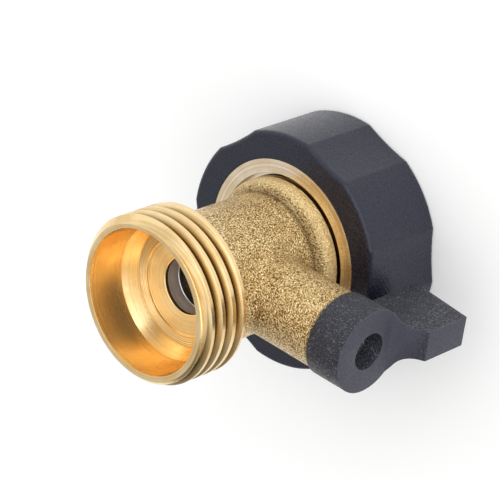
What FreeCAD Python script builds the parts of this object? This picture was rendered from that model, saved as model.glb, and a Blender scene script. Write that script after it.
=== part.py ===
import FreeCAD, Part
import math
import os

from FreeCAD import Vector

# Shut-off ball valve for a garden or caravan water hose, in millimetres.
# Z is the flow axis, from the inlet nut's end face at zero up to the outlet's mouth.
# X is the stem's axis direction, from the ball out to the lever. The valve is shown open.

# ---- Lengths along the flow axis ----
nut_length = 15.0
nut_to_stem = 11.4
stem_to_mouth = 18.6

# ---- Hose thread, 3/4 in with 11.5 turns to the inch ----
thread_pitch = 25.4 / 11.5
male_major_radius = 13.4
male_minor_radius = 12.25
male_thread_length = 8.7
male_land_length = 1.0
male_lead_chamfer = 1.0
male_back_chamfer = 0.2
female_minor_radius = 12.35
female_major_radius = 13.6
female_chamfer = 0.4
groove_root_width = 0.12
groove_flank_angle = 30.0
groove_overcut = 0.4
thread_start_angle = -75.0

# ---- Outlet cup and flow bores ----
mouth_radius = 11.5
cup_floor_radius = 10.8
cup_depth = 5.9
cup_cone_length = 2.4
port_radius = 4.5
inlet_port_radius = 4.8
tail_radius = 11.3
tail_bore_radius = tail_radius - 3.1
tail_bore_depth = 3.6
tail_cone_length = 4.0
tail_chamfer = 0.3

# ---- Ball, seats and retainer ----
ball_radius = 8.0
ball_edge_chamfer = 0.2
cavity_radius = ball_radius + 0.9
seat_radius = cavity_radius - 0.1
seat_bore_radius = port_radius + 0.2
seat_length = 2.2
seat_clearance = 0.03
seat_nose_radius = port_radius + 1.7
seat_nose_clearance = 0.05
retainer_radius = cavity_radius + 0.55
retainer_ring_radius = port_radius + 3.2
retainer_step = 0.35
retainer_dish = 0.55
retainer_lip = 0.55

# ---- Stem ----
stem_radius = 3.5
running_clearance = 0.05
stem_collar_radius = stem_radius + 0.8
stem_collar_start = ball_radius + 0.6
stem_collar_length = 1.4
thrust_washer_thickness = 0.55
tang_width = 6.0
tang_thickness = 2.2
tang_depth = 2.1
slot_clearance = 0.1
o_ring_groove_radius = stem_radius - 0.9
o_ring_groove_width = 1.3
square_across_flats = round((stem_radius - 0.1) * math.sqrt(2), 1)
stem_bore_radius = stem_radius + running_clearance
stem_seat = stem_collar_start + stem_collar_length
stem_shoulder = stem_seat + thrust_washer_thickness + running_clearance
o_ring_places = (stem_shoulder + 2.6, stem_shoulder + 6.0)
seat_contact_from = max(ball_radius - 3.4, stem_collar_radius + 0.3)

# ---- Lever ----
spigot_radius = stem_radius + 1.5
spigot_length = 3.1
spigot_clearance = 0.2
boss_wall = 1.2
boss_end = stem_shoulder + 12.0
hub_radius = spigot_radius + spigot_clearance + boss_wall + 0.4
hub_start = boss_end + 0.3
hub_end = hub_start + 6.3
blade_width = 5.0
blade_inner = hub_start - 1.1
blade_outer = hub_end + 4.1
blade_reach_outer = 17.4
blade_reach_inner = 18.9
blade_ramp_start = 4.6
blade_ramp_end = 8.6
ramp_bow_climb = 0.36
ramp_bow_run = 0.54
neck_round = 3.0
blade_edge_round = 0.45
lever_turn_angle = 90.0
stop_key_angle = 60.0
stop_key_centre = 45.0
stop_key_radius = spigot_radius - 0.7
stop_key_height = 2.2
stop_key_root = 0.3
stop_clearance_angle = 1.0
stop_radial_clearance = 0.1

# ---- Lever screw and its washer ----
screw_radius = 1.5
screw_length = 8.0
screw_head_radius = 2.7
screw_head_height = 1.5
screw_head_dome = 0.5
dome_bow_height = 0.72
dome_bow_radius = 0.72
cross_width = 0.7
cross_length = 3.2
cross_depth = 0.9
lock_washer_radius = max(screw_head_radius - 0.15, square_across_flats / 2 + 0.15)
lock_washer_thickness = 0.5
lock_washer_gap_angle = 14.0
recess_radius = max(screw_head_radius, lock_washer_radius) + 0.3
recess_depth = 4.4

# ---- Body outside ----
barrel_radius = retainer_radius + 1.05
collar_radius = max(tail_radius + 0.9, barrel_radius + 1.7)
collar_convex_radius = 1.9
collar_concave_radius = 0.4
flare_angle = 75.0
collar_proud_of_nut = 1.0
boss_radius = spigot_radius + spigot_clearance + boss_wall
boss_fillet = 1.8
boss_edge_chamfer = 0.35

# ---- Retaining ring and hose washer ----
retaining_ring_thickness = 1.0
retaining_ring_inner_radius = tail_radius - 0.7
retaining_ring_outer_radius = tail_radius + 0.95
retaining_ring_gap_angle = 16.0
ring_groove_clearance = 0.05
tail_end_land = 0.7
hose_washer_thickness = 2.8
hose_washer_bore_radius = tail_bore_radius
hose_washer_clearance = 0.1

# ---- Swivel nut ----
insert_relief_radius = max(retaining_ring_outer_radius + 0.65, female_minor_radius + 0.55)
insert_counterbore_radius = collar_radius + 0.6
insert_counterbore_depth = 0.9
insert_neck_radius = max(
    female_major_radius + 1.4,
    insert_relief_radius + 2.1,
    insert_counterbore_radius + 2.2,
)
nut_lobe_radius = 19.5
nut_flat_radius = nut_lobe_radius - 0.75
nut_lobe_count = 6
nut_lobe_angle = 34.0
nut_lobe_direction = 41.0
nut_corner_round = 0.5
nut_end_round = 0.6
insert_band_share = 0.375
insert_grip_radius = insert_neck_radius + insert_band_share * (nut_flat_radius - insert_neck_radius)
insert_rim_length = 1.0
insert_neck_length = 3.5
insert_notch_count = 8
insert_notch_radius = 1.1
lip_thickness = 1.8
lip_clearance = 0.25
lip_end_play = 0.15

# ---- Places that follow from the sizes ----
stem_height = nut_length + nut_to_stem
mouth_height = stem_height + stem_to_mouth
thread_back = mouth_height - male_thread_length
cup_floor = mouth_height - cup_depth
retainer_front = cup_floor - cup_cone_length
retainer_back = stem_height + seat_contact_from + seat_length
retainer_rim = retainer_front - retainer_step - retainer_dish
seat_nose_end = retainer_rim - retainer_lip
inlet_seat_back = stem_height - seat_contact_from - seat_length
collar_back = nut_length - insert_counterbore_depth
collar_front = nut_length + collar_proud_of_nut
lip_top = collar_back - lip_end_play
lip_bottom = lip_top - lip_thickness
ring_top = lip_bottom - lip_end_play
ring_bottom = ring_top - retaining_ring_thickness
tail_end = ring_bottom - tail_end_land
washer_top = tail_end - hose_washer_clearance
washer_bottom = washer_top - hose_washer_thickness
female_thread_end = washer_bottom - hose_washer_clearance
recess_floor = hub_end - recess_depth
stem_end = recess_floor - spigot_clearance
spigot_start = hub_start - spigot_length
spigot_pocket_floor = spigot_start - spigot_clearance
square_start = spigot_pocket_floor
spigot_pocket_radius = spigot_radius + spigot_clearance
screw_head_seat = recess_floor + lock_washer_thickness

PAST = 1.0  # how far a cutting tool runs past the face that it cuts
ORIGIN = Vector(0, 0, 0)
FLOW = Vector(0, 0, 1)
STEM = Vector(1, 0, 0)
BALL_CENTRE = Vector(0, 0, stem_height)


def flat_face(place, start, steps):
    """A closed flat face. A step of two values ends a line, and one of four is an arc's middle and end."""
    edges = []
    here = place(*start)
    for step in steps:
        there = place(*step[-2:])
        if len(step) == 4:
            edges.append(Part.Arc(here, place(*step[:2]), there).toShape())
        else:
            edges.append(Part.makeLine(here, there))
        here = there
    edges.append(Part.makeLine(here, place(*start)))
    return Part.Face(Part.Wire(edges))


def turned_on_flow_axis(start, *steps):
    """A solid turned about Z from an outline of (radius, height)."""
    face = flat_face(lambda r, z: Vector(r, 0, z), start, steps)
    return face.revolve(ORIGIN, FLOW, 360)


def turned_on_stem_axis(start, *steps):
    """A solid turned about the stem's axis from an outline of (distance along the stem, radius)."""
    face = flat_face(lambda x, r: Vector(x, r, stem_height), start, steps)
    return face.revolve(BALL_CENTRE, STEM, 360)


def flow_cylinder(radius, low, high):
    return Part.makeCylinder(radius, high - low, Vector(0, 0, low), FLOW)


def stem_cylinder(radius, inner, outer):
    return Part.makeCylinder(radius, outer - inner, Vector(inner, 0, stem_height), STEM)


def stem_box(inner, outer, width_y, width_z):
    corner = Vector(inner, -width_y / 2, stem_height - width_z / 2)
    return Part.makeBox(outer - inner, width_y, width_z, corner)


def stem_sector(inner, outer, radius, first_angle, last_angle):
    """A wedge about the stem's axis. Angles are in degrees from +Y towards +Z."""

    def at(angle):
        turn = math.radians(angle)
        return Vector(inner, radius * math.cos(turn), stem_height + radius * math.sin(turn))

    centre = Vector(inner, 0, stem_height)
    middle = at((first_angle + last_angle) / 2)
    edges = [
        Part.makeLine(centre, at(first_angle)),
        Part.Arc(at(first_angle), middle, at(last_angle)).toShape(),
        Part.makeLine(at(last_angle), centre),
    ]
    return Part.Face(Part.Wire(edges)).extrude(STEM * (outer - inner))


def thread_cutter(crest_radius, root_radius, low, high):
    """The helical groove between thread ridges. It widens from its root to past its crest."""
    overcut = math.copysign(groove_overcut, crest_radius - root_radius)
    depth = abs(crest_radius - root_radius) + groove_overcut
    half_root = groove_root_width / 2
    half_mouth = half_root + depth * math.tan(math.radians(groove_flank_angle))
    open_radius = crest_radius + overcut
    profile = Part.makePolygon([
        Vector(root_radius, 0, low - half_root),
        Vector(open_radius, 0, low - half_mouth),
        Vector(open_radius, 0, low + half_mouth),
        Vector(root_radius, 0, low + half_root),
        Vector(root_radius, 0, low - half_root),
    ])
    helix = Part.makeLongHelix(thread_pitch, high - low, root_radius)
    helix.translate(Vector(0, 0, low))
    groove = Part.Wire(helix.Edges).makePipeShell([profile], True, True)
    return groove.rotate(ORIGIN, FLOW, thread_start_angle)


def make_valve_body():
    body = barrel_with_boss().fuse([tail_and_collar(), threaded_head()])
    body = body.cut([body_hollow(), ring_groove()] + stem_hollows())
    return body.fuse(stop_key()).removeSplitter()


def barrel_with_boss():
    barrel = flow_cylinder(barrel_radius, nut_length, mouth_height - male_thread_length / 2)
    boss = stem_cylinder(boss_radius, 0, boss_end)
    blank = barrel.fuse(boss).removeSplitter()
    blank = blank.makeFillet(boss_fillet, boss_root_edges(blank))
    return blank.makeChamfer(boss_edge_chamfer, boss_end_edges(blank))


def boss_root_edges(shape):
    """The closed seam where the boss runs into the barrel."""
    found = []
    for edge in shape.Edges:
        box = edge.BoundBox
        round_stem = abs(box.YMax - boss_radius) < 0.01 or abs(box.YMin + boss_radius) < 0.01
        if round_stem and box.XMax < barrel_radius + 0.01 and box.XMin > 0:
            found.append(edge)
    return found


def boss_end_edges(shape):
    found = []
    for edge in shape.Edges:
        if edge.BoundBox.XMin > boss_end - 0.01:
            found.append(edge)
    return found


def tail_and_collar():
    """The tail that turns inside the nut, and the collar whose shoulder runs out on the barrel.

    The shoulder is a convex arc and then a hollow one, stretched to the drop from collar to barrel.
    """
    turn = math.radians(flare_angle)
    arcs = collar_convex_radius + collar_concave_radius
    stretch = (collar_radius - barrel_radius) / (arcs * (1 - math.cos(turn)))
    flare_end = collar_front + arcs * math.sin(turn)

    def convex(angle):
        back = collar_convex_radius * (1 - math.cos(angle)) * stretch
        return collar_radius - back, collar_front + collar_convex_radius * math.sin(angle)

    def concave(angle):
        out = collar_concave_radius * (1 - math.cos(angle)) * stretch
        return barrel_radius + out, flare_end - collar_concave_radius * math.sin(angle)

    return turned_on_flow_axis(
        (0, tail_end),
        (tail_radius - tail_chamfer, tail_end),
        (tail_radius, tail_end + tail_chamfer),
        (tail_radius, collar_back),
        (collar_radius - tail_chamfer, collar_back),
        (collar_radius, collar_back + tail_chamfer),
        (collar_radius, collar_front),
        convex(turn / 2) + convex(turn),
        concave(turn / 2) + concave(0),
        (0, flare_end),
    )


def threaded_head():
    head = turned_on_flow_axis(
        (0, thread_back),
        (male_major_radius - male_back_chamfer, thread_back),
        (male_major_radius, thread_back + male_back_chamfer),
        (male_major_radius, mouth_height - male_lead_chamfer),
        (male_major_radius - male_lead_chamfer, mouth_height),
        (0, mouth_height),
    )
    groove_start = thread_back + male_land_length
    groove_end = mouth_height + thread_pitch
    return head.cut(thread_cutter(male_major_radius, male_minor_radius, groove_start, groove_end))


def ring_groove():
    """The groove in the tail that the retaining ring snaps into."""
    low = ring_bottom - ring_groove_clearance
    high = ring_top + ring_groove_clearance
    groove = flow_cylinder(tail_radius + PAST, low, high)
    return groove.cut(flow_cylinder(retaining_ring_inner_radius - ring_groove_clearance, low, high))


def body_hollow():
    """The way through the body, from the hose washer's face at the tail to the mouth."""
    cone_start = tail_end + tail_bore_depth
    return turned_on_flow_axis(
        (0, tail_end),
        (tail_bore_radius, tail_end),
        (tail_bore_radius, cone_start),
        (inlet_port_radius, cone_start + tail_cone_length),
        (inlet_port_radius, inlet_seat_back),
        (cavity_radius, inlet_seat_back),
        (cavity_radius, retainer_back),
        (retainer_radius, retainer_back),
        (retainer_radius, retainer_front),
        (cup_floor_radius, cup_floor),
        (mouth_radius, mouth_height),
        (0, mouth_height),
    )


def stem_hollows():
    """The stem's bore, the seat for its collar and the pocket for the lever's spigot."""
    return [
        stem_cylinder(stem_bore_radius, 0, boss_end),
        stem_cylinder(stem_collar_radius + running_clearance * 2, 0, stem_shoulder),
        stem_cylinder(spigot_pocket_radius, spigot_pocket_floor, boss_end),
    ]


def stop_key():
    """The cast lug in the boss's pocket that stops the lever at open and at shut."""
    first = stop_key_centre - stop_key_angle / 2
    last = stop_key_centre + stop_key_angle / 2
    top = spigot_pocket_floor + stop_key_height
    wedge = stem_sector(spigot_pocket_floor, top, spigot_pocket_radius + stop_key_root, first, last)
    return wedge.cut(stem_cylinder(stop_key_radius, 0, boss_end))


def make_outlet_retainer():
    """The screwed-in ring that holds the outlet seat. Its thin lip covers the end of the seat's nose."""
    nose_room = seat_nose_radius + seat_nose_clearance
    return turned_on_flow_axis(
        (nose_room, retainer_back),
        (retainer_radius, retainer_back),
        (retainer_radius, retainer_front),
        (retainer_ring_radius, retainer_front),
        (retainer_ring_radius, retainer_front - retainer_step),
        (port_radius, retainer_rim),
        (port_radius, seat_nose_end),
        (nose_room, seat_nose_end),
    )


def make_inlet_seat():
    """A PTFE ring between the ball and the inlet port."""
    ring = flow_cylinder(seat_radius, inlet_seat_back, inlet_seat_back + seat_length)
    return ring.cut(seat_tools())


def make_outlet_seat():
    """A PTFE ring between the ball and the retainer, with a nose that lines the retainer's hole."""
    ring = flow_cylinder(seat_radius, retainer_back - seat_length, retainer_back)
    nose = flow_cylinder(seat_nose_radius, retainer_back, seat_nose_end - seat_nose_clearance)
    return ring.fuse(nose).removeSplitter().cut(seat_tools())


def seat_tools():
    """The port through a seat and the ball's own shape, a little larger than the ball."""
    port = flow_cylinder(seat_bore_radius, inlet_seat_back - PAST, seat_nose_end + PAST)
    return [port, Part.makeSphere(ball_radius + seat_clearance, BALL_CENTRE)]


def make_ball():
    reach = 2 * ball_radius
    ball = Part.makeSphere(ball_radius, BALL_CENTRE)
    ball = ball.cut(flow_cylinder(port_radius, stem_height - reach, stem_height + reach))
    bore_half = math.sqrt(ball_radius ** 2 - port_radius ** 2)
    for side in (-1, 1):
        low = stem_height + side * (bore_half - ball_edge_chamfer)
        high = stem_height + side * (bore_half + ball_edge_chamfer)
        ball = ball.cut(turned_on_flow_axis(
            (0, low),
            (port_radius, low),
            (port_radius + 2 * ball_edge_chamfer, high),
            (0, high),
        ))
    slot_floor = ball_radius - tang_depth - 2 * slot_clearance
    slot_width = tang_thickness + 2 * slot_clearance
    return ball.cut(stem_box(slot_floor, stem_collar_start, reach + PAST, slot_width))


def make_valve_stem():
    stem = stem_cylinder(stem_radius, stem_seat, square_start)
    stem = stem.fuse([
        stem_cylinder(stem_collar_radius, stem_collar_start, stem_seat),
        stem_box(ball_radius - tang_depth, stem_collar_start, tang_width, tang_thickness),
        stem_box(square_start, stem_end, square_across_flats, square_across_flats),
    ]).removeSplitter()
    for place in o_ring_places:
        groove = stem_cylinder(stem_radius + PAST, place, place + o_ring_groove_width)
        stem = stem.cut(groove.cut(stem_cylinder(o_ring_groove_radius, place, place + o_ring_groove_width)))
    screw_hole = stem_cylinder(screw_radius, screw_head_seat - screw_length, stem_end)
    return stem.cut(screw_hole)


def make_thrust_washer():
    outer = stem_cylinder(stem_collar_radius, stem_seat, stem_seat + thrust_washer_thickness)
    return outer.cut(stem_cylinder(stem_radius, 0, hub_end))


def make_o_ring(place):
    section = (stem_bore_radius - running_clearance / 2 - o_ring_groove_radius) / 2
    centre = Vector(place + o_ring_groove_width / 2, 0, stem_height)
    return Part.makeTorus(o_ring_groove_radius + section, section, centre, STEM)


def lever_plan():
    """The lever seen from outside along the stem, as one solid: round hub, hollow neck and parallel blade."""
    half = blade_width / 2
    arc_y = half + neck_round
    arc_z = math.sqrt((hub_radius + neck_round) ** 2 - arc_y ** 2)
    reach = blade_reach_inner + PAST
    share = hub_radius / (hub_radius + neck_round)
    touch = (arc_y * share, -arc_z * share)
    inward = (touch[0] - arc_y, touch[1] + arc_z)
    middle = (inward[0] - neck_round, inward[1])
    length = math.hypot(*middle)
    middle = (arc_y + neck_round * middle[0] / length, neck_round * middle[1] / length - arc_z)
    face = flat_face(
        lambda y, z: Vector(spigot_start, y, stem_height + z),
        (half, -reach),
        (
            (half, -arc_z),
            middle + touch,
            (0, hub_radius, -touch[0], touch[1]),
            (-middle[0], middle[1], -half, -arc_z),
            (-half, -reach),
        ),
    )
    return face.extrude(STEM * (blade_outer - spigot_start + PAST))


def lever_side():
    """The lever seen from the side, as one solid wider than the lever."""
    run = blade_ramp_end - blade_ramp_start
    climb = blade_outer - hub_end
    face = flat_face(
        lambda x, z: Vector(x, -2 * hub_radius, stem_height + z),
        (hub_start, 2 * hub_radius),
        (
            (hub_end, 2 * hub_radius),
            (hub_end, -blade_ramp_start),
            (
                hub_end + ramp_bow_climb * climb,
                -blade_ramp_start - ramp_bow_run * run,
                blade_outer,
                -blade_ramp_end,
            ),
            (blade_outer, -blade_reach_outer),
            (blade_inner, -blade_reach_inner),
            (blade_inner, -boss_radius - PAST),
            (hub_start, -boss_radius - PAST),
        ),
    )
    return face.extrude(Vector(0, 4 * hub_radius, 0))


def make_lever():
    lever = lever_plan().common(lever_side())
    lever = lever.makeFillet(blade_edge_round, blade_end_edges(lever))
    lever = lever.fuse(stem_cylinder(spigot_radius, spigot_start, hub_start + PAST)).removeSplitter()
    return lever.cut([
        stem_cylinder(recess_radius, recess_floor, blade_outer),
        stem_box(spigot_start - PAST, recess_floor, square_across_flats, square_across_flats),
        stop_notch(),
    ])


def blade_end_edges(lever):
    """The edges round the blade's outer pad and across its far end."""
    found = []
    for edge in lever.Edges:
        box = edge.BoundBox
        if box.ZMax > stem_height - blade_ramp_end - blade_edge_round:
            continue
        on_pad = box.XMin > blade_outer - 0.01
        if on_pad or box.XLength > blade_width or box.YLength > blade_width - 0.01:
            found.append(edge)
    return found


def stop_notch():
    """The gap in the spigot that the stop key sits in. It gives the lever its quarter turn."""
    first = stop_key_centre - stop_key_angle / 2 - stop_clearance_angle
    last = stop_key_centre + stop_key_angle / 2 + lever_turn_angle + stop_clearance_angle
    top = spigot_pocket_floor + stop_key_height + spigot_clearance
    wedge = stem_sector(spigot_start - PAST, top, spigot_radius + PAST, first, last)
    return wedge.cut(stem_cylinder(stop_key_radius - stop_radial_clearance, 0, hub_end))


def make_lever_screw():
    head_top = screw_head_seat + screw_head_height
    dome_start = head_top - screw_head_dome
    head = turned_on_stem_axis(
        (screw_head_seat, 0),
        (screw_head_seat, screw_head_radius),
        (dome_start, screw_head_radius),
        (dome_start + screw_head_dome * dome_bow_height, screw_head_radius * dome_bow_radius, head_top, 0),
    )
    shank = stem_cylinder(screw_radius, screw_head_seat - screw_length, screw_head_seat)
    screw = head.fuse(shank).removeSplitter()
    for width_y, width_z in ((cross_width, cross_length), (cross_length, cross_width)):
        screw = screw.cut(stem_box(head_top - cross_depth, head_top + PAST, width_y, width_z))
    return screw


def make_lock_washer():
    half_gap = lock_washer_gap_angle / 2
    ring = stem_cylinder(lock_washer_radius, recess_floor, screw_head_seat)
    gap = stem_sector(recess_floor, screw_head_seat, lock_washer_radius + PAST, -half_gap, half_gap)
    return ring.cut([stem_cylinder(screw_radius, recess_floor, screw_head_seat), gap])


def polar(radius, angle, height):
    turn = math.radians(angle)
    return Vector(radius * math.cos(turn), radius * math.sin(turn), height)


def lobed_prism():
    """The grip's outside: round lobes about the axis with slightly hollow flats between them."""
    step = 360.0 / nut_lobe_count
    half_lobe = nut_lobe_angle / 2
    edges = []
    for index in range(nut_lobe_count):
        centre = nut_lobe_direction + index * step
        lobe_start = polar(nut_lobe_radius, centre - half_lobe, 0)
        lobe_end = polar(nut_lobe_radius, centre + half_lobe, 0)
        next_start = polar(nut_lobe_radius, centre + step - half_lobe, 0)
        edges.append(Part.Arc(lobe_start, polar(nut_lobe_radius, centre, 0), lobe_end).toShape())
        edges.append(Part.Arc(lobe_end, polar(nut_flat_radius, centre + step / 2, 0), next_start).toShape())
    prism = Part.Face(Part.Wire(edges)).extrude(Vector(0, 0, nut_length))
    uprights = [edge for edge in prism.Edges if edge.BoundBox.ZLength > nut_length / 2]
    prism = prism.makeFillet(nut_corner_round, uprights)
    rims = [edge for edge in prism.Edges if edge.BoundBox.ZLength < 0.01]
    return prism.makeFillet(nut_end_round, rims)


def insert_outside():
    """The brass nut's outside, with a wider notched band that the grip is moulded around."""
    band_top = nut_length - insert_neck_length
    shape = turned_on_flow_axis(
        (0, 0),
        (insert_neck_radius, 0),
        (insert_neck_radius, insert_rim_length),
        (insert_grip_radius, insert_rim_length),
        (insert_grip_radius, band_top),
        (insert_neck_radius, band_top),
        (insert_neck_radius, nut_length),
        (0, nut_length),
    )
    notches = []
    for index in range(insert_notch_count):
        place = polar(insert_grip_radius, index * 360.0 / insert_notch_count, insert_rim_length)
        notches.append(Part.makeCylinder(insert_notch_radius, band_top - insert_rim_length, place, FLOW))
    return shape.cut(notches)


def make_nut_insert():
    lip_radius = tail_radius + lip_clearance
    hollow = turned_on_flow_axis(
        (0, 0),
        (female_minor_radius + female_chamfer, 0),
        (female_minor_radius, female_chamfer),
        (female_minor_radius, female_thread_end),
        (insert_relief_radius, female_thread_end),
        (insert_relief_radius, lip_bottom),
        (lip_radius, lip_bottom),
        (lip_radius, lip_top),
        (insert_counterbore_radius, lip_top),
        (insert_counterbore_radius, nut_length),
        (0, nut_length),
    )
    groove_end = female_thread_end - groove_overcut * thread_pitch
    groove = thread_cutter(female_minor_radius, female_major_radius, -thread_pitch, groove_end)
    return insert_outside().cut([hollow, groove])


def make_nut_grip():
    return lobed_prism().cut(insert_outside())


def make_nut_retaining_ring():
    ring = flow_cylinder(retaining_ring_outer_radius, ring_bottom, ring_top)
    ring = ring.cut(flow_cylinder(retaining_ring_inner_radius, ring_bottom, ring_top))
    half_gap = retaining_ring_gap_angle / 2
    corners = [
        Vector(0, 0, ring_bottom - PAST),
        polar(2 * tail_radius, 180 - half_gap, ring_bottom - PAST),
        polar(2 * tail_radius, 180 + half_gap, ring_bottom - PAST),
    ]
    wedge = Part.Face(Part.makePolygon(corners + corners[:1])).extrude(Vector(0, 0, nut_length))
    return ring.cut(wedge)


def make_hose_washer():
    washer = flow_cylinder(insert_relief_radius, washer_bottom, washer_top)
    return washer.cut(flow_cylinder(hose_washer_bore_radius, washer_bottom, washer_top))


pieces = {
    "valve_body": make_valve_body(),
    "outlet_retainer": make_outlet_retainer(),
    "outlet_seat": make_outlet_seat(),
    "inlet_seat": make_inlet_seat(),
    "ball": make_ball(),
    "valve_stem": make_valve_stem(),
    "stem_thrust_washer": make_thrust_washer(),
    "stem_o_ring_inner": make_o_ring(o_ring_places[0]),
    "stem_o_ring_outer": make_o_ring(o_ring_places[1]),
    "lever": make_lever(),
    "lever_screw": make_lever_screw(),
    "screw_lock_washer": make_lock_washer(),
    "nut_grip": make_nut_grip(),
    "nut_insert": make_nut_insert(),
    "nut_retaining_ring": make_nut_retaining_ring(),
    "hose_washer": make_hose_washer(),
}

os.makedirs("parts", exist_ok=True)
for name, shape in pieces.items():
    shape.exportStep("parts/" + name + ".step")
    print(name, len(shape.Solids), shape.isValid(), round(shape.Volume, 1))
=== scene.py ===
import math

import bmesh
import bpy
from mathutils import Matrix, Vector


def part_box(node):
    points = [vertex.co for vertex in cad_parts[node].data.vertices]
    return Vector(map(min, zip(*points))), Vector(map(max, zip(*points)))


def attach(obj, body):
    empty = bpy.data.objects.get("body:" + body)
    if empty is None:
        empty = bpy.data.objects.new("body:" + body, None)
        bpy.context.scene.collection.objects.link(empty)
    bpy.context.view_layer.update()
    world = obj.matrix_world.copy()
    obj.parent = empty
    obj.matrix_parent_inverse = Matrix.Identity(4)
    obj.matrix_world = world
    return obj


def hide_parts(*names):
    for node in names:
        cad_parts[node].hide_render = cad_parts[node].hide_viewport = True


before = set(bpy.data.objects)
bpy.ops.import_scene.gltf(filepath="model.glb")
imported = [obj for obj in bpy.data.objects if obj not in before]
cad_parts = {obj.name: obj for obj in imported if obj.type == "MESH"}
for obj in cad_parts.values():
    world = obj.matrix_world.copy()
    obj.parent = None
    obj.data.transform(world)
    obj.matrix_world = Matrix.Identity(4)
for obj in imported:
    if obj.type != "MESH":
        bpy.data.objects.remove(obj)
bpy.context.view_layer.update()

# Studio. The nut stands on white paper in a white room, lit by five broad soft boxes and two small ones.
# The camera looks into the outlet from about 42 degrees above the floor and is rolled, so the flow axis
# lies across the view from the mouth at the lower left to the nut at the upper right.
aim = Vector((0.00167, 0.00369, 0.0242))
camera_azimuth = math.radians(38.69)
camera_elevation = math.radians(42.23)
camera_roll = math.radians(-110.2)
camera_distance = 0.3689
lens_length = 172.8
towards_camera = Vector((
    math.cos(camera_azimuth) * math.cos(camera_elevation),
    math.sin(camera_azimuth) * math.cos(camera_elevation),
    math.sin(camera_elevation),
))
upright = (-towards_camera).to_track_quat("-Z", "Y").to_matrix()
camera_turn = upright @ Matrix.Rotation(camera_roll, 3, "Z")

camera_data = bpy.data.cameras.new("camera")
camera = bpy.data.objects.new("camera", camera_data)
bpy.context.scene.collection.objects.link(camera)
camera_data.sensor_width = 36.0
camera_data.lens = lens_length
camera_data.clip_start = 0.02
camera_data.clip_end = 20.0
camera.matrix_world = Matrix.Translation(aim + towards_camera * camera_distance) @ camera_turn.to_4x4()
bpy.context.scene.camera = camera
bpy.context.scene.view_settings.view_transform = "Standard"

floor_size = 6.0
paper_white = (0.92, 0.92, 0.92, 1)
paper_roughness = 0.9
paper_glow = 0.12
bpy.ops.object.select_all(action="DESELECT")
bpy.ops.mesh.primitive_plane_add(size=floor_size, location=(0, 0, 0))
floor = bpy.context.object
floor.name = "floor"
paper = bpy.data.materials.new("floor_paper")
paper.use_nodes = True
paper_finish = paper.node_tree.nodes["Principled BSDF"]
paper_finish.inputs["Base Color"].default_value = paper_white
paper_finish.inputs["Roughness"].default_value = paper_roughness
paper_finish.inputs["Emission Color"].default_value = (1, 1, 1, 1)
paper_finish.inputs["Emission Strength"].default_value = paper_glow
floor.data.materials.append(paper)


def put_node(tree, kind, inputs=None, **settings):
    """Adds a node. An input's value is a number or colour, or another node's output to link."""
    made = tree.nodes.new(kind)
    for setting, value in settings.items():
        setattr(made, setting, value)
    for socket, value in (inputs or {}).items():
        if isinstance(value, bpy.types.NodeSocket):
            tree.links.new(value, made.inputs[socket])
        else:
            made.inputs[socket].default_value = value
    return made


def light_the_room(walls, soft_boxes):
    """A white room with round soft boxes. Each is a direction, a brightness and a tightness."""
    room = bpy.data.worlds.new("room")
    room.use_nodes = True
    tree = room.node_tree
    direction = put_node(tree, "ShaderNodeTexCoord").outputs["Generated"]
    total = walls
    for facing, brightness, tightness in soft_boxes:
        towards = put_node(tree, "ShaderNodeVectorMath", {
            0: direction, 1: facing.normalized(),
        }, operation="DOT_PRODUCT").outputs["Value"]
        lit_side = put_node(tree, "ShaderNodeMath", {0: towards, 1: 0.0}, operation="MAXIMUM").outputs[0]
        spread = put_node(tree, "ShaderNodeMath", {0: lit_side, 1: tightness}, operation="POWER").outputs[0]
        total = put_node(tree, "ShaderNodeMath", {
            0: spread, 1: brightness, 2: total,
        }, operation="MULTIPLY_ADD").outputs[0]
    backdrop = tree.nodes["Background"]
    backdrop.inputs["Color"].default_value = (1, 1, 1, 1)
    tree.links.new(total, backdrop.inputs["Strength"])
    bpy.context.scene.world = room


room_walls = 0.2
soft_boxes = (
    (Vector((0.8, 0.45, 0.4)), 1.6, 4.0),       # broad, on the lever's side
    (Vector((-0.65, 0.7, 0.2)), 1.0, 5.0),      # broad and low, across from the lever
    (Vector((0.25, 0.95, 0.15)), 0.9, 5.0),     # broad and low, towards +Y
    (Vector((0.1, 0.1, 1.0)), 0.9, 4.0),        # broad, overhead
    (Vector((-0.9, -0.25, 0.35)), 0.7, 4.0),    # broad, behind the valve
    (Vector((0.35, 0.8, 0.5)), 1.6, 40.0),      # small and bright, beside the camera
    (Vector((0.75, -0.2, 0.6)), 0.9, 20.0),     # small, above the lever
)
light_the_room(room_walls, soft_boxes)

# Valve body. One forging of brass with a boss for the stem, shot blasted to a sparkling grain. The outlet's
# thread and cup and the inlet's tail are then turned bright. The thread's roots and the crease above the
# collar are painted dark as shade, and the collar's crown is painted brighter as a highlight.
mouth_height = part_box("valve_body")[1][2]
thread_length = 0.0087
thread_root_radius = 0.01225
thread_skin_from = thread_root_radius - 0.0003
# Painted shade in the thread's roots: full below the first radius, fading out by the second.
root_shade_below = thread_root_radius + 0.0003
root_shade_ends_above = thread_root_radius + 0.00095
lead_chamfer = 0.001
blasted_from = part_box("nut_grip")[1][2] + 0.0002
blasted_to = mouth_height - thread_length - 0.00005
blasted_grain = 0.00024
blasted_depth = 0.00028
turned_share = 0.03
turning_pitch = 0.00035
brass_edge_round = 0.00014
rubbed_amount = 0.35
# Painted shade along the crease above the collar, darkest at its height and gone at this width each side.
collar_crease = 0.01835
collar_crease_width = 0.0009
crease_shade_amount = 0.7
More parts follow.
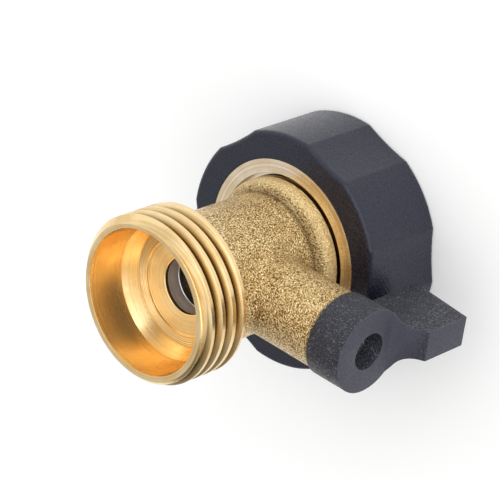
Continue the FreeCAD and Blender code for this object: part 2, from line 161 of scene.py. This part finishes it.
# A painted highlight on the collar's crown, full below the first height and gone above the second.
crown_highlight_below = 0.0171
crown_highlight_ends_above = 0.0177
crown_highlight_amount = 0.5
blasted_brass = ((0.20, 0.115, 0.04, 1), (0.74, 0.49, 0.20, 1), (1.0, 0.88, 0.54, 1))
bright_brass = ((0.76, 0.50, 0.21, 1), (0.95, 0.73, 0.40, 1))
# Painted shade for the thread's roots.
root_shade_brass = (0.16, 0.09, 0.03, 1)
# Painted shade for the crease above the collar.
crease_shade_brass = (0.10, 0.055, 0.02, 1)
rubbed_brass = (1.0, 0.86, 0.56, 1)
# A painted highlight for the collar's crown.
crown_highlight_brass = (1.0, 0.80, 0.42, 1)


def new_group(name, inputs, output_kinds):
    """A shader node group with number inputs and named outputs. Returns its tree, inputs and exit."""
    tree = bpy.data.node_groups.new(name, "ShaderNodeTree")
    for label, value in inputs.items():
        socket = tree.interface.new_socket(name=label, in_out="INPUT", socket_type="NodeSocketFloat")
        socket.default_value = value
    for label, kind in output_kinds.items():
        tree.interface.new_socket(name=label, in_out="OUTPUT", socket_type=kind)
    entry = tree.nodes.new("NodeGroupInput")
    leave = tree.nodes.new("NodeGroupOutput")
    return tree, entry.outputs, leave


def number(tree, operation, *values):
    """The output of a Math node on one to three values."""
    made = put_node(tree, "ShaderNodeMath", dict(enumerate(values)), operation=operation)
    return made.outputs[0]


def remap(tree, value, low, high, to_low=0.0, to_high=1.0):
    made = put_node(tree, "ShaderNodeMapRange", {
        "Value": value, "From Min": low, "From Max": high, "To Min": to_low, "To Max": to_high,
    })
    return made.outputs["Result"]


def blend_numbers(tree, amount, first, second):
    return put_node(tree, "ShaderNodeMix", {0: amount, 2: first, 3: second}).outputs[0]


def blend_colours(tree, amount, first, second):
    return put_node(tree, "ShaderNodeMix", {0: amount, 6: first, 7: second}, data_type="RGBA").outputs[2]


def colour_steps(tree, value, stops):
    """A colour ramp. Each stop is a place from 0 to 1 and a colour."""
    ramp = put_node(tree, "ShaderNodeValToRGB", {"Fac": value})
    elements = ramp.color_ramp.elements
    while len(elements) < len(stops):
        elements.new(0.5)
    for element, (place, colour) in zip(elements, stops):
        element.position = place
        element.color = colour
    return ramp.outputs["Color"]


def make_grain_group():
    """Close round grains, as left by shot or by a sparked mould. Size is a grain's width in metres."""
    tree, given, leave = new_group(
        "surface_grain", {"Size": 0.0003}, {"Height": "NodeSocketFloat", "Tone": "NodeSocketFloat"},
    )
    place = put_node(tree, "ShaderNodeTexCoord").outputs["Object"]
    density = number(tree, "DIVIDE", 1.0, given["Size"])
    fine = put_node(tree, "ShaderNodeTexNoise", {
        "Vector": place, "Scale": density, "Detail": 2.0, "Roughness": 0.6,
    }).outputs["Fac"]
    cells = put_node(tree, "ShaderNodeTexVoronoi", {"Vector": place, "Scale": density}).outputs["Distance"]
    broad = put_node(tree, "ShaderNodeTexNoise", {
        "Vector": place, "Scale": number(tree, "MULTIPLY", density, 0.1), "Detail": 2.0,
    }).outputs["Fac"]
    height = number(tree, "SUBTRACT", fine, number(tree, "MULTIPLY", cells, 0.55))
    fine_tone = remap(tree, fine, 0.36, 0.66)
    broad_tone = remap(tree, broad, 0.3, 0.7, -0.08, 0.08)
    tone = number(tree, "ADD", fine_tone, broad_tone)
    tree.links.new(height, leave.inputs["Height"])
    tree.links.new(tone, leave.inputs["Tone"])
    return tree


def flow_axis_radius(tree, parts):
    """The distance from the flow axis of a place split into its parts."""
    across = put_node(tree, "ShaderNodeCombineXYZ", {"X": parts["X"], "Y": parts["Y"]}).outputs[0]
    return put_node(tree, "ShaderNodeVectorMath", {0: across}, operation="LENGTH").outputs["Value"]


def make_turning_group():
    """Fine lines round the flow axis, as a lathe tool leaves them. Pitch is their spacing in metres."""
    tree, given, leave = new_group(
        "turning_lines", {"Pitch": 0.0003}, {"Height": "NodeSocketFloat", "Tone": "NodeSocketFloat"},
    )
    place = put_node(tree, "ShaderNodeTexCoord").outputs["Object"]
    parts = put_node(tree, "ShaderNodeSeparateXYZ", {0: place}).outputs
    radius = flow_axis_radius(tree, parts)
    along = number(tree, "DIVIDE", number(tree, "ADD", radius, parts["Z"]), given["Pitch"])
    lines = put_node(tree, "ShaderNodeTexNoise", {
        "W": along, "Scale": 1.0, "Detail": 3.0, "Roughness": 0.7,
    }, noise_dimensions="1D").outputs["Fac"]
    stain = put_node(tree, "ShaderNodeTexNoise", {
        "Vector": place, "Scale": 260.0, "Detail": 4.0,
    }).outputs["Fac"]
    line_tone = remap(tree, lines, 0.3, 0.7, 0.0, 0.6)
    stain_tone = remap(tree, stain, 0.35, 0.65, 0.0, 0.4)
    tone = number(tree, "ADD", line_tone, stain_tone)
    tree.links.new(lines, leave.inputs["Height"])
    tree.links.new(tone, leave.inputs["Tone"])
    return tree


def make_edge_group():
    """A piece's corners. Normal rounds them off, and Mask is 1 on a sharp corner and 0 on a flat."""
    tree, given, leave = new_group(
        "rubbed_edges", {"Round": 0.0002}, {"Normal": "NodeSocketVector", "Mask": "NodeSocketFloat"},
    )
    rounded = put_node(tree, "ShaderNodeBevel", {"Radius": given["Round"]}, samples=4).outputs["Normal"]
    straight = put_node(tree, "ShaderNodeNewGeometry").outputs["Normal"]
    alike = put_node(tree, "ShaderNodeVectorMath", {0: rounded, 1: straight}, operation="DOT_PRODUCT")
    tree.links.new(rounded, leave.inputs["Normal"])
    tree.links.new(remap(tree, alike.outputs["Value"], 0.8, 0.99, 1.0, 0.0), leave.inputs["Mask"])
    return tree


grain_group = make_grain_group()
turning_group = make_turning_group()
edge_group = make_edge_group()


def put_group(tree, group, **inputs):
    made = put_node(tree, "ShaderNodeGroup", node_tree=group)
    for socket, value in inputs.items():
        made.inputs[socket].default_value = value
    return made.outputs


def new_finish(name, metallic, roughness, **plain_inputs):
    """A material with a Principled shader. Returns the material, its tree and the shader."""
    material = bpy.data.materials.new(name)
    material.use_nodes = True
    shader = material.node_tree.nodes["Principled BSDF"]
    shader.inputs["Metallic"].default_value = metallic
    shader.inputs["Roughness"].default_value = roughness
    for socket, value in plain_inputs.items():
        shader.inputs[socket.replace("_", " ")].default_value = value
    return material, material.node_tree, shader


def rub_edges(tree, edges, amount, colour, rubbed):
    """Paints the corners with the paler colour that wear gives them."""
    return blend_colours(tree, number(tree, "MULTIPLY", edges["Mask"], amount), colour, rubbed)


def set_roughness(tree, shader, tone, dull, shiny):
    """Dull where the tone is 0 and shiny where it is 1."""
    tree.links.new(remap(tree, tone, 0.0, 1.0, dull, shiny), shader.inputs["Roughness"])


def raise_surface(tree, shader, height, depth, normal):
    """Bumps a finish by a height of 0 to 1 and a depth in metres."""
    bump = put_node(tree, "ShaderNodeBump", {"Height": height, "Distance": depth, "Normal": normal})
    tree.links.new(bump.outputs["Normal"], shader.inputs["Normal"])


def cover(node_name, material):
    """Gives a carried-over piece its finish."""
    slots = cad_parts[node_name].data.materials
    slots.clear()
    slots.append(material)


def make_body_brass():
    material, tree, shader = new_finish("valve_body_brass", 1.0, 0.3)
    place = put_node(tree, "ShaderNodeTexCoord").outputs["Object"]
    parts = put_node(tree, "ShaderNodeSeparateXYZ", {0: place}).outputs
    radius = flow_axis_radius(tree, parts)
    at_outlet = number(tree, "GREATER_THAN", parts["Z"], blasted_to)
    at_inlet = number(tree, "LESS_THAN", parts["Z"], blasted_from)
    turned = number(tree, "ADD", at_outlet, at_inlet)
    grain = put_group(tree, grain_group, Size=blasted_grain)
    lines = put_group(tree, turning_group, Pitch=turning_pitch)
    edges = put_group(tree, edge_group, Round=brass_edge_round)
    blasted = colour_steps(tree, grain["Tone"], tuple(zip((0.12, 0.5, 0.9), blasted_brass)))
    bright = colour_steps(tree, lines["Tone"], tuple(zip((0.1, 0.8), bright_brass)))
    # The crease above the collar is painted dark as shade.
    from_crease = number(tree, "ABSOLUTE", number(tree, "SUBTRACT", parts["Z"], collar_crease))
    crease_shade = remap(tree, from_crease, 0.0, collar_crease_width, crease_shade_amount, 0.0)
    # The collar's crown is painted brighter as a highlight.
    crown_highlight = remap(tree, parts["Z"], crown_highlight_below, crown_highlight_ends_above, crown_highlight_amount, 0.0)
    blasted = blend_colours(tree, crown_highlight, blasted, crown_highlight_brass)
    blasted = blend_colours(tree, crease_shade, blasted, crease_shade_brass)
    # The thread's roots are painted dark as shade, darkest at the root.
    outside = number(tree, "GREATER_THAN", radius, thread_skin_from)
    behind_chamfer = number(tree, "LESS_THAN", parts["Z"], mouth_height - lead_chamfer)
    in_thread = number(tree, "MULTIPLY", turned, number(tree, "MULTIPLY", outside, behind_chamfer))
    depth = remap(tree, radius, root_shade_below, root_shade_ends_above, 1.0, 0.0)
    bright = blend_colours(tree, number(tree, "MULTIPLY", in_thread, depth), bright, root_shade_brass)
    colour = blend_colours(tree, turned, blasted, bright)
    colour = rub_edges(tree, edges, rubbed_amount, colour, rubbed_brass)
    tree.links.new(colour, shader.inputs["Base Color"])
    blasted_roughness = remap(tree, grain["Tone"], 0.0, 1.0, 0.42, 0.24)
    turned_roughness = remap(tree, lines["Tone"], 0.0, 1.0, 0.3, 0.19)
    roughness = blend_numbers(tree, turned, blasted_roughness, turned_roughness)
    tree.links.new(roughness, shader.inputs["Roughness"])
    turned_height = number(tree, "MULTIPLY", lines["Height"], turned_share)
    relief = blend_numbers(tree, turned, grain["Height"], turned_height)
    raise_surface(tree, shader, relief, blasted_depth, edges["Normal"])
    return material


cover("valve_body", make_body_brass())

# Seats. Two rings of filled PTFE that seal on the ball, cut from grey tube. The outlet's has a nose that
# lines the retainer's hole, and it is seen through the port in the retainer's shade.
ptfe_greys = ((0.36, 0.29, 0.25, 1), (0.66, 0.58, 0.53, 1))


def make_ptfe():
    material, tree, shader = new_finish("filled_ptfe", 0.0, 0.35)
    lines = put_group(tree, turning_group, Pitch=0.0005)
    edges = put_group(tree, edge_group, Round=0.0001)
    colour = colour_steps(tree, lines["Tone"], tuple(zip((0.1, 0.9), ptfe_greys)))
    tree.links.new(colour, shader.inputs["Base Color"])
    set_roughness(tree, shader, lines["Tone"], 0.42, 0.28)
    raise_surface(tree, shader, lines["Height"], 0.00002, edges["Normal"])
    return material


ptfe = make_ptfe()
for seat in ("inlet_seat", "outlet_seat"):
    cover(seat, ptfe)

# Ball. Forged brass, bored through, slotted for the stem's tang and plated with hard chrome.
# Its polish is almost a mirror, with faint streaks where the seats wipe it.
chrome_greys = ((0.42, 0.43, 0.46, 1), (0.78, 0.79, 0.82, 1))


def make_chrome():
    material, tree, shader = new_finish("hard_chrome", 1.0, 0.1)
    lines = put_group(tree, turning_group, Pitch=0.0011)
    edges = put_group(tree, edge_group, Round=0.00015)
    colour = colour_steps(tree, lines["Tone"], tuple(zip((0.1, 0.9), chrome_greys)))
    tree.links.new(colour, shader.inputs["Base Color"])
    set_roughness(tree, shader, lines["Tone"], 0.2, 0.07)
    raise_surface(tree, shader, lines["Height"], 0.000015, edges["Normal"])
    return material


cover("ball", make_chrome())

# Outlet retainer. A turned brass ring that is screwed down on the outlet seat inside the cup. Its face is
# dished towards the port inside a raised border, which has a pair of fine tool rings at each edge.
ring_low, ring_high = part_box("outlet_retainer")
retainer_radius = ring_high[0]
retainer_top = ring_high[2]
retainer_bottom = ring_low[2]
port_radius = 0.0045
nose_hole_radius = 0.00625
nose_hole_depth = 0.00205
border_radius = 0.0077
border_step = 0.00035
face_dish = 0.00055
tool_ring_depth = 0.00009
tool_ring_width = 0.00016
rim_to_rings = 0.0003
rings_to_border = 0.00075
wall_draft = 0.00005
hole_draft = 0.00002
port_chamfer = 0.0001
retainer_sides = 160


def start_edit():
    bpy.ops.object.mode_set(mode="EDIT")
    bpy.ops.mesh.select_mode(type="FACE")


def finish_edit():
    bpy.ops.mesh.select_all(action="SELECT")
    bpy.ops.mesh.normals_make_consistent(inside=False)
    bpy.ops.object.mode_set(mode="OBJECT")


def pick_faces(test):
    """Selects the faces whose middle and normal pass the test, and no others."""
    bpy.ops.mesh.select_all(action="DESELECT")
    mesh = bpy.context.object.data
    shape = bmesh.from_edit_mesh(mesh)
    for face in shape.faces:
        if test(face.calc_center_median(), face.normal):
            face.select_set(True)
    bmesh.update_edit_mesh(mesh)


def use_modifier(piece, kind, **settings):
    """Adds a modifier to a piece and applies it at once."""
    modifier = piece.modifiers.new(kind.lower(), kind)
    for setting, value in settings.items():
        setattr(modifier, setting, value)
    bpy.ops.object.modifier_apply(modifier=modifier.name)


def round_edges(piece, width, segments, angle):
    """Rounds the edges that are sharper than an angle in degrees."""
    use_modifier(piece, "BEVEL", width=width, segments=segments, limit_method="ANGLE",
        angle_limit=math.radians(angle), use_clamp_overlap=True, miter_outer="MITER_ARC")


def step_inwards(start_radius, steps):
    """Insets the one picked round face by steps of (radius, rise)."""
    radius = start_radius
    for next_radius, rise in steps:
        bpy.ops.mesh.inset(thickness=radius - next_radius, depth=0.0)
        if rise:
            bpy.ops.transform.translate(value=(0, 0, rise))
        radius = next_radius


def tool_rings(outer_radius):
    """Two fine V grooves side by side, as steps of (radius, rise), inwards from a radius."""
    steps = []
    for index in range(2):
        start = outer_radius - index * 2 * tool_ring_width
        steps.append((start, 0.0))
        steps.append((start - tool_ring_width / 2, -tool_ring_depth))
        steps.append((start - tool_ring_width, tool_ring_depth))
    return steps


bpy.ops.object.select_all(action="DESELECT")
bpy.ops.mesh.primitive_cylinder_add(
    vertices=retainer_sides,
    radius=retainer_radius,
    depth=retainer_top - retainer_bottom,
    location=(0, 0, (retainer_top + retainer_bottom) / 2),
)
retainer = bpy.context.object
retainer.name = "seat_retainer_ring"
bpy.ops.object.transform_apply(location=True)
start_edit()
pick_faces(lambda middle, normal: normal.z > 0.9)
outer_rings = tool_rings(retainer_radius - rim_to_rings)
inner_rings = tool_rings(border_radius + rings_to_border)
step_inwards(retainer_radius, outer_rings + inner_rings + [
    (border_radius, 0.0),
    (border_radius - wall_draft, -border_step),
    (port_radius + port_chamfer, port_chamfer - face_dish),
    (port_radius, -port_chamfer),
])
pick_faces(lambda middle, normal: normal.z < -0.9)
step_inwards(retainer_radius, [
    (nose_hole_radius, 0.0),
    (nose_hole_radius - hole_draft, nose_hole_depth),
    (port_radius, 0.0),
])
pick_faces(lambda middle, normal: abs(normal.z) > 0.9 and middle.xy.length < 1e-5)
bpy.ops.mesh.bridge_edge_loops()
finish_edit()
bpy.ops.object.shade_smooth_by_angle(angle=math.radians(25))


def make_turned_brass(name, pitch, depth, colours):
    material, tree, shader = new_finish(name, 1.0, 0.2)
    lines = put_group(tree, turning_group, Pitch=pitch)
    edges = put_group(tree, edge_group, Round=brass_edge_round)
    colour = colour_steps(tree, lines["Tone"], tuple(zip((0.1, 0.85), colours)))
    colour = rub_edges(tree, edges, rubbed_amount, colour, rubbed_brass)
    tree.links.new(colour, shader.inputs["Base Color"])
    set_roughness(tree, shader, lines["Tone"], 0.27, 0.15)
    raise_surface(tree, shader, lines["Height"], depth, edges["Normal"])
    return material


turned_brass = make_turned_brass("turned_brass", 0.00022, 0.000016, bright_brass)
retainer.data.materials.append(turned_brass)
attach(retainer, "body")
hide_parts("outlet_retainer")

# Stem, its thrust washer and O-rings. The stem is turned brass with a tang for the ball and a square for
# the lever. It goes in from the ball's side. Its collar runs on a PTFE washer and two O-rings seal it.
rubber_blacks = ((0.012, 0.012, 0.012, 1), (0.035, 0.034, 0.033, 1))


def make_rubber():
    material, tree, shader = new_finish("black_rubber", 0.0, 0.6)
    grain = put_group(tree, grain_group, Size=0.00018)
    edges = put_group(tree, edge_group, Round=0.0003)
    colour = colour_steps(tree, grain["Tone"], tuple(zip((0.1, 0.9), rubber_blacks)))
    tree.links.new(colour, shader.inputs["Base Color"])
    set_roughness(tree, shader, grain["Tone"], 0.72, 0.5)
    raise_surface(tree, shader, grain["Height"], 0.00002, edges["Normal"])
    return material


rubber = make_rubber()
cover("valve_stem", turned_brass)
cover("stem_thrust_washer", ptfe)
for ring in ("stem_o_ring_inner", "stem_o_ring_outer"):
    cover(ring, rubber)

# Lever. One moulding of glass-filled black nylon: a hub with a spigot that turns in the boss, and a blade.
# The hub's rim and the blade's flanks keep the mould's sparked grain, whose palest flecks are painted
# glints. The outer face and ramp are smoother.
lever_edge_round = 0.0004
lever_grain = 0.00024
lever_grain_depth = 0.0002
smooth_share = 0.25
# The palest of the sparked grain's three colours is painted glints.
lever_blacks_and_glints = ((0.006, 0.006, 0.009, 1), (0.018, 0.018, 0.026, 1), (0.12, 0.12, 0.135, 1))
lever_smooth = ((0.024, 0.024, 0.036, 1), (0.038, 0.038, 0.055, 1))
lever_rubbed = (0.16, 0.16, 0.18, 1)


def merged_copy(node_name, name):
    """A piece of its own with a carried-over node's shape, its doubles merged and its flats made whole."""
    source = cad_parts[node_name]
    piece = bpy.data.objects.new(name, source.data.copy())
    bpy.context.scene.collection.objects.link(piece)
    bpy.ops.object.select_all(action="DESELECT")
    piece.select_set(True)
    bpy.context.view_layer.objects.active = piece
    piece.data.materials.clear()
    bpy.ops.mesh.customdata_custom_splitnormals_clear()
    start_edit()
    bpy.ops.mesh.select_all(action="SELECT")
    bpy.ops.mesh.remove_doubles(threshold=0.000002)
    bpy.ops.mesh.dissolve_limited(angle_limit=math.radians(0.5))
    bpy.ops.object.mode_set(mode="OBJECT")
    return piece


lever = merged_copy("lever", "lever_moulding")
round_edges(lever, lever_edge_round, segments=3, angle=32.0)
bpy.ops.object.shade_smooth_by_angle(angle=math.radians(35))


def make_lever_nylon():
    material, tree, shader = new_finish(
        "lever_nylon", 0.0, 0.4, Specular_IOR_Level=0.6, Specular_Tint=(0.84, 0.87, 1.0, 1),
    )
    grain = put_group(tree, grain_group, Size=lever_grain)
    edges = put_group(tree, edge_group, Round=0.00025)
    facing = put_node(tree, "ShaderNodeNewGeometry").outputs["Normal"]
    outwards = put_node(tree, "ShaderNodeSeparateXYZ", {0: facing}).outputs["X"]
    smooth = remap(tree, outwards, 0.35, 0.6)
    # The sparked grain's palest flecks are painted glints.
    sparked = colour_steps(tree, grain["Tone"], tuple(zip((0.15, 0.7, 1.0), lever_blacks_and_glints)))
    flat = colour_steps(tree, grain["Tone"], tuple(zip((0.2, 0.9), lever_smooth)))
    colour = blend_colours(tree, smooth, sparked, flat)
    colour = rub_edges(tree, edges, 0.5, colour, lever_rubbed)
    tree.links.new(colour, shader.inputs["Base Color"])
    sparked_roughness = remap(tree, grain["Tone"], 0.0, 1.0, 0.5, 0.3)
    smooth_roughness = remap(tree, grain["Tone"], 0.0, 1.0, 0.55, 0.46)
    roughness = blend_numbers(tree, smooth, sparked_roughness, smooth_roughness)
    tree.links.new(roughness, shader.inputs["Roughness"])
    smooth_height = number(tree, "MULTIPLY", grain["Height"], smooth_share)
    relief = blend_numbers(tree, smooth, grain["Height"], smooth_height)
    raise_surface(tree, shader, relief, lever_grain_depth, edges["Normal"])
    return material


lever.data.materials.append(make_lever_nylon())
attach(lever, "handle")
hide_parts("lever")

# Lever screw and lock washer. A zinc-plated steel screw with a cross recess, sunk in the hub, holds the
# lever on the stem's square over a split spring washer.
screw_edge_round = 0.00012
zinc_greys = ((0.5, 0.52, 0.54, 1), (0.86, 0.88, 0.9, 1))


def make_zinc():
    material, tree, shader = new_finish("zinc_plating", 1.0, 0.2)
    grain = put_group(tree, grain_group, Size=0.0004)
    edges = put_group(tree, edge_group, Round=0.00015)
    colour = colour_steps(tree, grain["Tone"], tuple(zip((0.1, 0.9), zinc_greys)))
    tree.links.new(colour, shader.inputs["Base Color"])
    set_roughness(tree, shader, grain["Tone"], 0.32, 0.14)
    raise_surface(tree, shader, grain["Height"], 0.00002, edges["Normal"])
    return material


zinc = make_zinc()
cover("screw_lock_washer", zinc)
screw = merged_copy("lever_screw", "lever_pan_screw")
round_edges(screw, screw_edge_round, segments=3, angle=40.0)
bpy.ops.object.shade_smooth_by_angle(angle=math.radians(40))
screw.data.materials.append(zinc)
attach(screw, "handle")
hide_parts("lever_screw")

# Swivel nut's insert and retaining ring. The insert is turned brass with the hose thread inside and a lip
# that turns on the body's tail. A split ring of spring steel in the tail's groove keeps it on.
pale_brass = ((0.78, 0.58, 0.36, 1), (0.97, 0.86, 0.68, 1))
spring_greys = ((0.3, 0.29, 0.28, 1), (0.56, 0.55, 0.53, 1))


def make_spring_steel():
    material, tree, shader = new_finish("spring_steel", 1.0, 0.3)
    lines = put_group(tree, turning_group, Pitch=0.0003)
    edges = put_group(tree, edge_group, Round=0.0001)
    colour = colour_steps(tree, lines["Tone"], tuple(zip((0.1, 0.9), spring_greys)))
    tree.links.new(colour, shader.inputs["Base Color"])
    set_roughness(tree, shader, lines["Tone"], 0.4, 0.25)
    raise_surface(tree, shader, lines["Height"], 0.00001, edges["Normal"])
    return material


cover("nut_insert", make_turned_brass("insert_brass", 0.0004, 0.00001, pale_brass))
cover("nut_retaining_ring", make_spring_steel())

# Swivel nut's grip. Black plastic moulded round the insert, with six round lobes for the fingers. Its skin
# is satin with a fine leathery grain, and its corners are rubbed paler.
grip_blacks = ((0.005, 0.005, 0.012, 1), (0.013, 0.013, 0.024, 1))
grip_rubbed = (0.14, 0.14, 0.17, 1)


def make_grip_plastic():
    material, tree, shader = new_finish(
        "grip_plastic", 0.0, 0.36, Specular_IOR_Level=0.55, Specular_Tint=(0.8, 0.84, 1.0, 1),
    )
    grain = put_group(tree, grain_group, Size=0.00032)
    edges = put_group(tree, edge_group, Round=0.0005)
    colour = colour_steps(tree, grain["Tone"], tuple(zip((0.1, 0.9), grip_blacks)))
    colour = rub_edges(tree, edges, 0.3, colour, grip_rubbed)
    tree.links.new(colour, shader.inputs["Base Color"])
    set_roughness(tree, shader, grain["Tone"], 0.34, 0.2)
    raise_surface(tree, shader, grain["Height"], 0.00004, edges["Normal"])
    return material


cover("nut_grip", make_grip_plastic())

# Hose washer. A flat ring of black rubber at the bottom of the nut's thread, stamped from sheet.
# The tap's end squeezes it against the tail, and it drops out by hand.
cover("hose_washer", rubber)
